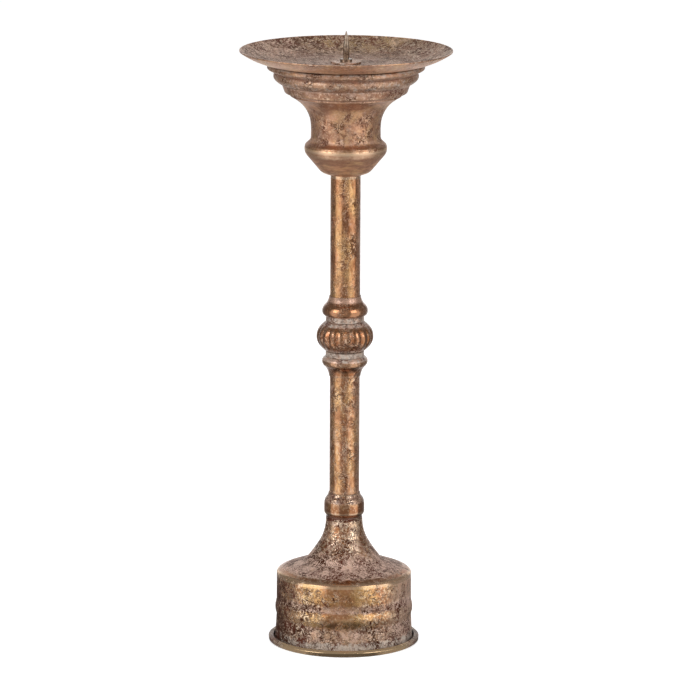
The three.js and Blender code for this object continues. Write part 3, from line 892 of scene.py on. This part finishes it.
def aged_copper(name, **changes):
    """Rubbed copper with a mauve film, pits in clusters, dust in the hollows, soil and painted shade in the
    creases, and painted highlights on proud edges, crests and stripes. The changes to the usual wear are
    amounts, or changing amounts from levels and rising."""
    material, tree, shader, place = new_material(name)
    wear = {key: amount(value, tree, place) for key, value in {**USUAL_WEAR, **changes}.items()}
    streaks = add_node(tree, "ShaderNodeVectorMath", {0: place, 1: (1, 1, 1 / wear["drawn"])},
                       operation="MULTIPLY").outputs[0]
    dark, pale, eaten = copper_pits(tree, place, wear)
    hands = place_group(tree, HANDLING, {"Place": place})
    # Proud edges are painted a paler copper, which also stands as a painted highlight on beads and crests
    polished = times(tree, hands["Polished"], wear["polish"])

    film = plus(tree, times(tree, film_cover(tree, streaks, FILM_PATCH, wear["film"]), 0.45), wear["haze"])
    film = calc(tree, "MAXIMUM", film, times(tree, hands["Hollow"], wear["settled"]))
    film = times(tree, film, minus(tree, 1.0, polished))
    dust = times(tree, film_cover(tree, place, DUST_PATCH, wear["dust"]), 0.8)
    # Painted shade: the creases are darkened to the colour of the pits
    creases = times(tree, hands["Crease"], wear["grime"])
    dirt = calc(tree, "MAXIMUM", creases, times(tree, dark, wear["stain"]))
    pit_colour = blend(tree, step(tree, noise(tree, place, 0.08), 0.45, 0.6), DARK_PIT, PLUM_PIT)
    colour = bare_copper(tree, streaks, wear)
    # The pale and yellow metal layers also paint highlights where their amounts follow the side or a crest
    for share, layer in (
        (polished, WORN_COPPER), (wear["worn"], WORN_COPPER), (wear["gilt"], GILT_COPPER),
        (times(tree, pale, wear["crumb"]), PALE_CRUMB), (film, MAUVE_FILM), (dust, GREY_DUST),
        (dirt, pit_colour),
    ):
        colour = blend(tree, share, colour, layer)

    dull = calc(tree, "MAXIMUM", calc(tree, "MAXIMUM", film, dust), dirt)
    grain = minus(tree, noise(tree, place, 0.8, detail=4.0, roughness=0.6), 0.5)
    rough = plus(tree, times(tree, grain, 0.25), wear["rough"])
    rough = plus(tree, rough, times(tree, dull, 0.3))
    rough = minus(tree, rough, times(tree, polished, 0.07))
    height = minus(tree, times(tree, pale, 0.2), times(tree, dark, 0.5))
    for pitch, weight in ((0.12, wear["dents"]), (0.8, plus(tree, eaten, wear["crinkle"]))):
        height = plus(tree, height, times(tree, noise(tree, place, pitch), weight))
    fill(tree, shader, {
        "Base Color": colour, "Metallic": step(tree, dull, 0.0, 1.0, 1.0, 0.25), "Roughness": rough,
        "Specular IOR Level": 0.1, "Coat Weight": wear["lacquer"], "Coat Roughness": 0.08,
        "Normal": relief(tree, height, 0.9, COPPER_RELIEF),
    })
    return material


def plated_steel(name, colour, rust, rough):
    """Dull plating with cloudy patches and brown stains."""
    material, tree, shader, place = new_material(name)
    cloud = noise(tree, place, 0.35, detail=5.0, roughness=0.65)
    stain = film_cover(tree, place, RUST_PATCH, rust)
    dim = srgb(*[level * 0.82 for level in colour])
    shade = blend(tree, step(tree, cloud, 0.38, 0.62), dim, srgb(*colour))
    shade = blend(tree, times(tree, stain, 0.8), shade, RUST)
    height = plus(tree, cloud, times(tree, noise(tree, place, 3.0, detail=3.0), 0.3))
    fill(tree, shader, {
        "Base Color": shade, "Metallic": step(tree, stain, 0.0, 1.0, 0.95, 0.2),
        "Roughness": step(tree, cloud, 0.3, 0.7, rough - 0.08, rough + 0.14),
        "Normal": relief(tree, height, 0.4, STEEL_RELIEF),
    })
    return material


def soft_rubber(name):
    """Black rubber with a dusty bloom and a fine cast grain."""
    material, tree, shader, place = new_material(name)
    bloom = film_cover(tree, place, BLOOM_PATCH, 0.4)
    grain = noise(tree, place, 4.0, detail=4.0, roughness=0.7)
    fill(tree, shader, {
        "Base Color": blend(tree, times(tree, bloom, 0.6), RUBBER_BLACK, RUBBER_BLOOM),
        "Roughness": step(tree, bloom, 0.0, 1.0, 0.62, 0.85),
        "Normal": relief(tree, grain, 0.5, RUBBER_RELIEF),
    })
    return material


# Finishes of the foot

# Pits and film below the drum's bead and just above it, painted highlight stripes of yellow metal at both
# sides of the front, and dust over the rim
DRUM_SKIN = aged_copper(
    "drum_skin", specks=1.0, stain=1.0, rough=0.15, crinkle=0.3, dents=0.4,
    pits=(rising("base_drum", (5, 0.42), (9, 0.47), (17, 0.49), (20, 0.36), (27, 0.34), (29.5, 0.46),
                 (32, 0.44), (35, 0.36), (44, 0.32), (46, 0.1)),
          levels("side", (-44, 0.3), (-29, 0.06), (-18, 0.04), (-10, -0.1), (5, -0.1), (12, 0.0))),
    film=rising("base_drum", (5, 0.4), (17, 0.45), (20, 0.15), (27, 0.15), (29.5, 0.5), (32, 0.45),
                (35.5, 0.2), (44, 0.2), (46, 0.0)),
    haze=(rising("base_drum", (16, 0.3), (19, 0.0), (27.5, 0.0), (29.5, 0.4), (32, 0.35), (35, 0.0)),
          levels("side", (27, 0.0), (38, 0.55))),
    crumb=(rising("base_drum", (16, 1.0), (20, 0.7)), levels("side", (-40, -0.3), (-28, 0.0))),
    flecks=levels("side", (-26, 1.0), (-17, 0.4), (5, 0.35), (12, 0.9)),
    gilt=(rising("base_drum", (17, -0.5), (20, 0.0), (27.5, 0.0), (29.5, -0.4), (32, -0.35), (35, 0.0)),
          levels("side", (-28, 0.0), (-26.5, 0.42), (-18, 0.38), (-12, 0.05), (6, 0.05), (9, 0.3),
                 (19, 0.3), (24, 0.0))),
    worn=(rising("base_drum", (14, 0.3), (19, 0.0)),
          levels("side", (-44, 0.0), (-34, 0.12), (-20, 0.0), (20, 0.0), (34, 0.2))),
    dust=rising("base_drum", (4.6, 0.8), (7.5, 0.6), (10.5, 0.12)))

# Rubbed bright with use, and darkened at both ends with pits and brown as painted shade
RIM_SKIN = aged_copper(
    "rim_skin", film=0.05, haze=0.0, polish=0.8, rough=0.1, flecks=0.25, lacquer=0.1, settled=0.0, dents=0.2,
    gilt=0.3,
    pits=levels("side", (-49, 0.9), (-36, 0.2), (36, 0.2), (49, 0.9)),
    tarnish=levels("side", (-49, 1.1), (-36, 0.35), (36, 0.35), (49, 1.1)),
    dust=levels("side", (-49, 0.2), (-38, 0.05), (38, 0.05), (49, 0.2)))

# Film and pits on the dome, brown at the seam, pits at its top painted as shade under the ferrule, and two
# streaks of pale metal up the trumpet painted as highlights
TRUMPET_SKIN = aged_copper(
    "trumpet_skin", specks=1.0, stain=1.0, crumb=1.0, crinkle=0.35,
    pits=(levels("radius", (13, 0.38), (17, 0.43), (24, 0.47), (38, 0.47), (42, 0.2)),
          rising("base_cone", (40.7, 0.0), (42.1, 0.35))),
    worn=(levels("radius", (14, 0.02), (20, 0.0), (25, -0.7)),
          levels("side", (-11, 0.0), (-8, 0.35), (-5, 0.0), (3, 0.0), (5, 0.7), (9, 0.7), (11, 0.0))),
    film=levels("radius", (13, 0.35), (25, 0.75), (38, 0.7), (42, 0.2)),
    haze=levels("radius", (18, 0.03), (25, 0.5), (37, 0.58), (41, 0.03)),
    flecks=levels("radius", (36, 1.0), (40, 0.25)),
    tarnish=levels("radius", (14, 0.65), (24, 0.5), (38, 0.4), (40.5, 1.0), (43.6, 1.0), (44.6, 0.2)))


# Finishes of the stem

# Dark pits at its foot, painted as shade where it meets the trumpet, with film at its upper end
FERRULE_SKIN = aged_copper(
    "ferrule_skin", haze=0.0, tarnish=0.7, polish=0.4, rough=0.15, flecks=0.4, lacquer=0.5, crumb=0.4,
    dents=0.4,
    pits=rising("base_ferrule", (4.75, 1.3), (5.75, 0.12), (13.35, 0.12), (15.15, 0.55)),
    film=rising("base_ferrule", (13.35, 0.1), (15.15, 0.6)))


def tube_skin(name, film, haze, crumb, flecks, crinkle, dents):
    """Copper with its patches drawn out upright, and stripes that follow the sides as seen from the front:
    more pits and brown down the middle and at the edges as painted shade, and yellow metal beside the middle
    as painted highlights.
    """
    return aged_copper(
        name, film=film, haze=haze, crumb=crumb, flecks=flecks, crinkle=crinkle, dents=dents, stain=0.85,
        specks=0.5, drawn=2.5,
        pits=levels("side", (-8.5, 0.42), (-5.8, 0.33), (-3.8, 0.33), (-1.2, 0.45), (0.6, 0.45), (3, 0.34),
                    (4.8, 0.35), (7.5, 0.43)),
        tarnish=levels("side", (-8.5, 0.5), (-5.8, 0.38), (-3.8, 0.38), (-1.2, 0.55), (0.6, 0.55), (3, 0.38),
                       (4.8, 0.38), (7.5, 0.5)),
        gilt=levels("side", (-7, 0.0), (-5.6, 0.05), (-4, 0.05), (-2.4, 0.0), (2, 0.0), (3.2, 0.04),
                    (4.4, 0.04), (6, 0.0)))


TUBE_EDGES = levels("side", (-9.8, 0.2), (-8.4, 0.04), (6.5, 0.04), (9.6, 0.35))
LOWER_TUBE_SKIN = tube_skin(
    "lower_tube_skin", film=0.25, haze=(rising("lower_tube", (6, 0.35), (14, 0.04)), TUBE_EDGES), crumb=0.4,
    flecks=0.5, crinkle=0.15, dents=0.3)
UPPER_TUBE_SKIN = tube_skin(
    "upper_tube_skin", film=0.2, haze=TUBE_EDGES, crumb=0.3, flecks=0.2, crinkle=0.04, dents=0.15)

LOWER_COLLAR_SKIN = aged_copper(
    "lower_collar_skin", pits=0.3, film=0.05, tarnish=1.1, polish=0.2, rough=0.14, flecks=0.2, lacquer=0.4,
    settled=0.2, crumb=0.4, dents=0.3,
    haze=rising("lower_collar", (10, 0.0), (11.4, 0.8)),
    dust=rising("lower_collar", (10.2, 0.1), (11.6, 0.5)))
UPPER_COLLAR_SKIN = aged_copper(
    "upper_collar_skin", pits=0.32, film=0.05, tarnish=1.25, polish=0.1, rough=0.13, flecks=0.1, lacquer=0.4,
    settled=0.1, crumb=0.3, dents=0.3,
    haze=rising("upper_collar", (0.45, 0.6), (1.25, 0.0), (8.5, 0.0), (10.5, 0.5)))

LOWER_SLEEVE_SKIN = aged_copper("lower_sleeve_skin", pits=0.46, track=1.2, film=0.9, haze=0.8, dust=0.6)
UPPER_SLEEVE_SKIN = aged_copper("upper_sleeve_skin", pits=0.44, track=1.2, film=0.9, haze=0.8, dust=0.55)

# Film, pits and dust at both ends of the flutes
KNOP_SKIN = aged_copper(
    "knop_skin", film=0.08, tarnish=1.2, polish=0.1, rough=0.15, flecks=0.2, lacquer=0.3, settled=0.0,
    crumb=0.4, dents=0.3,
    pits=rising("fluted_knop", (2.55, 0.55), (4.55, 0.34), (16.55, 0.34), (18.55, 0.5)),
    haze=rising("fluted_knop", (1.75, 0.7), (3.55, 0.0), (17.15, 0.0), (18.55, 0.8)),
    dust=rising("fluted_knop", (1.75, 0.5), (3.55, 0.1), (17.35, 0.1), (18.75, 0.5)))


# Finishes of the cup and the pan

# Nearly clean, with spinning marks round it, brown painted as shade below the crest, and a pale line painted
# as a highlight on the crest
BOWL_SKIN = aged_copper(
    "bowl_skin", pits=0.1, film=0.12, haze=0.26, rough=0.42, stain=0.6, flecks=0.15, crumb=0.2, drawn=0.25,
    dents=0.2, crinkle=0.02,
    tarnish=rising("cup_bowl", (14.3, 0.5), (19.3, 0.75), (22.7, 0.75), (23.5, 0.3)),
    worn=rising("cup_bowl", (22.9, 0.0), (23.6, 0.4)))

# Brown painted as shade above the crest and a pale line painted as a highlight at its foot, pits round the
# neck, and flecks, film and dust on the tiers
BELL_SKIN = aged_copper(
    "bell_skin", polish=0.15, grime=0.3, rough=0.36, stain=0.85, specks=0.4, dents=0.4,
    film=rising("cup_bell", (32.4, 0.3), (40.4, 0.36)),
    haze=rising("cup_bell", (1, 0.0), (4.4, 0.27)),
    flecks=rising("cup_bell", (32.4, 0.3), (40.4, 0.8)),
    crumb=rising("cup_bell", (32.4, 0.35), (40.4, 0.5)),
    tarnish=rising("cup_bell", (0.6, 0.3), (1.4, 1.2), (3.2, 1.2), (4.9, 0.5), (26.4, 0.5), (38.4, 0.7)),
    worn=rising("cup_bell", (0.6, 0.4), (1.3, 0.0)),
    pits=rising("cup_bell", (2.4, 0.3), (8.4, 0.44), (22.4, 0.4), (30.4, 0.2), (38.4, 0.4)),
    dust=rising("cup_bell", (38.4, 0.1), (44.4, 0.35), (54.6, 0.3), (55, 0.6)))

PAN_SKIN = aged_copper(
    "pan_skin", pits=0.25, film=0.25, haze=0.3, polish=0.0, grime=0.2, rough=0.3, stain=0.7, flecks=0.6)
# Film on the left, brown on the right and round the edge, with more flecks at the back and yellow metal
# there painted as a highlight
PAN_INSIDE = aged_copper(
    "pan_inside_skin", crinkle=0.5, film=0.45, polish=0.0, stain=0.95,
    flecks=levels("depth", (20, 0.9), (52, 1.6)),
    worn=levels("radius", (50, 0.0), (66, 0.35)),
    pits=levels("depth", (30, 0.54), (55, 0.6)),
    haze=levels("side", (-60, 0.35), (60, 0.06)),
    gilt=(levels("depth", (36, 0.0), (58, 0.8)),
          levels("side", (-34, -0.6), (-12, 0.0), (26, 0.0), (50, -0.6))),
    tarnish=(levels("side", (-60, 0.6), (60, 0.95)), levels("radius", (58, 0.0), (68, 0.4))))

DISC_SKIN = aged_copper(
    "spike_disc_skin", pits=0.35, film=0.4, haze=0.25, dust=0.35, tarnish=0.7, polish=0.0)


# Finishes of the fasteners

ZINC = plated_steel("zinc_plate", (176, 178, 180), rust=0.28, rough=0.36)
PIN_STEEL = plated_steel("tarnished_pin", (172, 154, 136), rust=0.4, rough=0.26)
RUBBER = soft_rubber("washer_rubber")


# Turned pieces

def dress(piece, node, material=None):
    """Gives a piece a finish and puts it under the body of the node that it stands for."""
    if material:
        piece.data.materials.clear()
        piece.data.materials.append(material)
    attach(piece, BODY_OF[node])
    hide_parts(node)


def looks_up(face):
    return face.normal.z > 0


def on_the_rim(face):
    return face.center.xy.length > RIM_START


TURNED = {
    "base_drum": (WIDE_SIDES, DRUM_SKIN),
    "base_cone": (CUP_SIDES, TRUMPET_SKIN),
    "base_ferrule": (STEM_SIDES, FERRULE_SKIN),
    "lower_tube": (STEM_SIDES, LOWER_TUBE_SKIN),
    "lower_collar": (STEM_SIDES, LOWER_COLLAR_SKIN),
    "knop_lower_sleeve": (STEM_SIDES, LOWER_SLEEVE_SKIN),
    "knop_upper_sleeve": (STEM_SIDES, UPPER_SLEEVE_SKIN),
    "upper_collar": (STEM_SIDES, UPPER_COLLAR_SKIN),
    "upper_tube": (STEM_SIDES, UPPER_TUBE_SKIN),
    "cup_bowl": (CUP_SIDES, BOWL_SKIN),
    "cup_bell": (CUP_SIDES, BELL_SKIN),
    "drip_pan": (WIDE_SIDES, PAN_SKIN),
    "rim_wire": (WASHER_SIDES, ZINC),
    "spike_washer": (WASHER_SIDES, DISC_SKIN),
    "pan_washer": (WASHER_SIDES, ZINC),
    "base_washer": (WASHER_SIDES, ZINC),
    "bowl_washer": (WASHER_SIDES, ZINC),
    "seat_washer": (WASHER_SIDES, RUBBER),
}
SECOND_FINISH = {"drip_pan": (PAN_INSIDE, looks_up), "base_drum": (RIM_SKIN, on_the_rim)}

for node, (sides, material) in TURNED.items():
    piece = turned_blank(node, sides)
    dress(piece, node, material)
    if node in SECOND_FINISH:
        finish, chosen = SECOND_FINISH[node]
        piece.data.materials.append(finish)
        for face in piece.data.polygons:
            face.material_index = int(chosen(face))


# Fluted knop

knop_low, knop_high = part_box("fluted_knop")
knop = turned_blank("fluted_knop", KNOP_LOBES * LOBE_SIDES, KNOP_ROW, math.pi / KNOP_LOBES)
shaped(knop, flute_tree(), {
    "Lobes": KNOP_LOBES, "Depth": FLUTE_DEPTH, "Bottom": knop_low.z, "Height": knop_high.z - knop_low.z,
    "Hub": KNOP_HUB, "Finish": KNOP_SKIN,
})
dress(knop, "fluted_knop")


# Threaded rod and spike

CUT_THREAD = thread_tree()


def threaded(node, sides, row, end, finish):
    """A turned piece with a thread from its foot up to a height."""
    piece = turned_blank(node, sides, row)
    shaped(piece, CUT_THREAD, {
        "Pitch": THREAD_PITCH, "Depth": THREAD_DEPTH, "Start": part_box(node)[0].z, "End": end,
        "Shank": ROD_RADIUS * SHANK_SHARE, "Finish": finish,
    })
    dress(piece, node)


threaded("tie_rod", ROD_SIDES, THREAD_ROW * 2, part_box("tie_rod")[1].z, ZINC)
threaded("candle_spike", SPIKE_SIDES, THREAD_ROW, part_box("pan_washer")[0].z, PIN_STEEL)


# Nuts, spring washer and clamping bar

for node in ("base_nut", "bowl_nut", "coupler_nut", "pan_nut", "rod_coupler"):
    dress(hex_nut(node, ROD_HOLE), node, ZINC)
dress(split_washer("base_lock_washer", ROD_HOLE), "base_lock_washer", ZINC)
dress(eased_bar("base_bridge"), "base_bridge", ZINC)


# Floor, light and camera

def white_floor():
    """A pale floor that keeps the object's shadow. In the metal it glows as bright as the studio around it,
    with painted shade round the foot.
    """
    mesh = bmesh.new()
    bmesh.ops.create_circle(mesh, cap_ends=True, segments=FLOOR_SIDES, radius=FLOOR_RADIUS)
    floor = finished(mesh, "floor")
    material, tree, shader, place = new_material("white_floor")
    fill(tree, shader, {
        "Base Color": (FLOOR_GREY, FLOOR_GREY, FLOOR_GREY, 1), "Roughness": FLOOR_ROUGHNESS,
        "Specular IOR Level": 0.0,
    })
    path = add_node(tree, "ShaderNodeLightPath").outputs
    glow = add_node(tree, "ShaderNodeEmission", {"Strength": times(tree, path["Is Camera Ray"], FLOOR_GLOW)})
    lit = add_node(tree, "ShaderNodeAddShader", {0: shader.outputs[0], 1: glow.outputs[0]})
    reach = add_node(tree, "ShaderNodeVectorMath", {0: place}, operation="LENGTH").outputs["Value"]
    shade = step(tree, reach, FOOT_SHADE_START, FOOT_SHADE_END, FOOT_SHADE, 1.0)
    level = times(tree, place_group(tree, STUDIO, {"Way": place})["Level"], shade)
    studio = add_node(tree, "ShaderNodeEmission", {"Strength": level})
    mirrored = calc(tree, "MAXIMUM", path["Is Glossy Ray"], path["Is Transmission Ray"])
    both = add_node(tree, "ShaderNodeMixShader", {0: mirrored, 1: lit.outputs[0], 2: studio.outputs[0]})
    fill(tree, tree.nodes["Material Output"], {"Surface": both.outputs[0]})
    floor.data.materials.append(material)


def studio_world():
    """The studio around the object, white to the camera."""
    world = bpy.data.worlds.new("studio")
    bpy.context.scene.world = world
    world.use_nodes = True
    tree = world.node_tree
    way = add_node(tree, "ShaderNodeTexCoord").outputs["Generated"]
    level = place_group(tree, STUDIO, {"Way": way})["Level"]
    camera_ray = add_node(tree, "ShaderNodeLightPath").outputs["Is Camera Ray"]
    strength = calc(tree, "MAXIMUM", level, camera_ray)
    fill(tree, tree.nodes["Background"], {"Color": (1, 1, 1, 1), "Strength": strength})


def softbox(name, azimuth, height, distance, size, radiance, mirrored=True):
    """A soft lamp at an azimuth in degrees from the camera's side, aimed at the middle of the object."""
    lamp = bpy.data.lights.new(name, "AREA")
    lamp.shape = "RECTANGLE"
    lamp.size, lamp.size_y = size
    lamp.energy = radiance * math.pi * lamp.size * lamp.size_y
    turn = math.radians(azimuth)
    piece = bpy.data.objects.new(name, lamp)
    piece.location = (distance * math.sin(turn), -distance * math.cos(turn), height)
    aim = Vector((0, 0, AIM_HEIGHT)) - piece.location
    piece.rotation_euler = aim.to_track_quat("-Z", "Y").to_euler()
    piece.visible_glossy = mirrored
    bpy.context.scene.collection.objects.link(piece)


def camera():
    """The photograph's view, with the axis a little left of the middle."""
    view = bpy.data.cameras.new("camera")
    piece = bpy.data.objects.new("camera", view)
    aside = (PICTURE / 2 - AXIS_PIXEL) * METRES_PER_PIXEL
    piece.location = (aside, -CAMERA_DISTANCE, CAMERA_HEIGHT)
    aim = Vector((aside, 0, AIM_HEIGHT)) - piece.location
    roll = Quaternion((0, 0, 1), LEAN)
    piece.rotation_euler = (aim.to_track_quat("-Z", "Y") @ roll).to_euler()
    view.sensor_fit = "HORIZONTAL"
    view.angle = 2 * math.atan(PICTURE / 2 * METRES_PER_PIXEL / aim.length)
    view.clip_end = VIEW_END
    bpy.context.scene.collection.objects.link(piece)
    bpy.context.scene.camera = piece


white_floor()
studio_world()
softbox("left_softbox", azimuth=-50, height=1.5, distance=2.6, size=(1.3, 1.5), radiance=3.2)
softbox("right_softbox", azimuth=48, height=1.5, distance=2.6, size=(1.3, 1.5), radiance=3.0)
softbox("top_fill", azimuth=0, height=2.4, distance=0.6, size=(2.0, 2.0), radiance=1.6, mirrored=False)
softbox("front_fill", azimuth=0, height=1.2, distance=2.8, size=(2.0, 2.0), radiance=0.8, mirrored=False)
bpy.context.scene.view_settings.view_transform = "Standard"
camera()
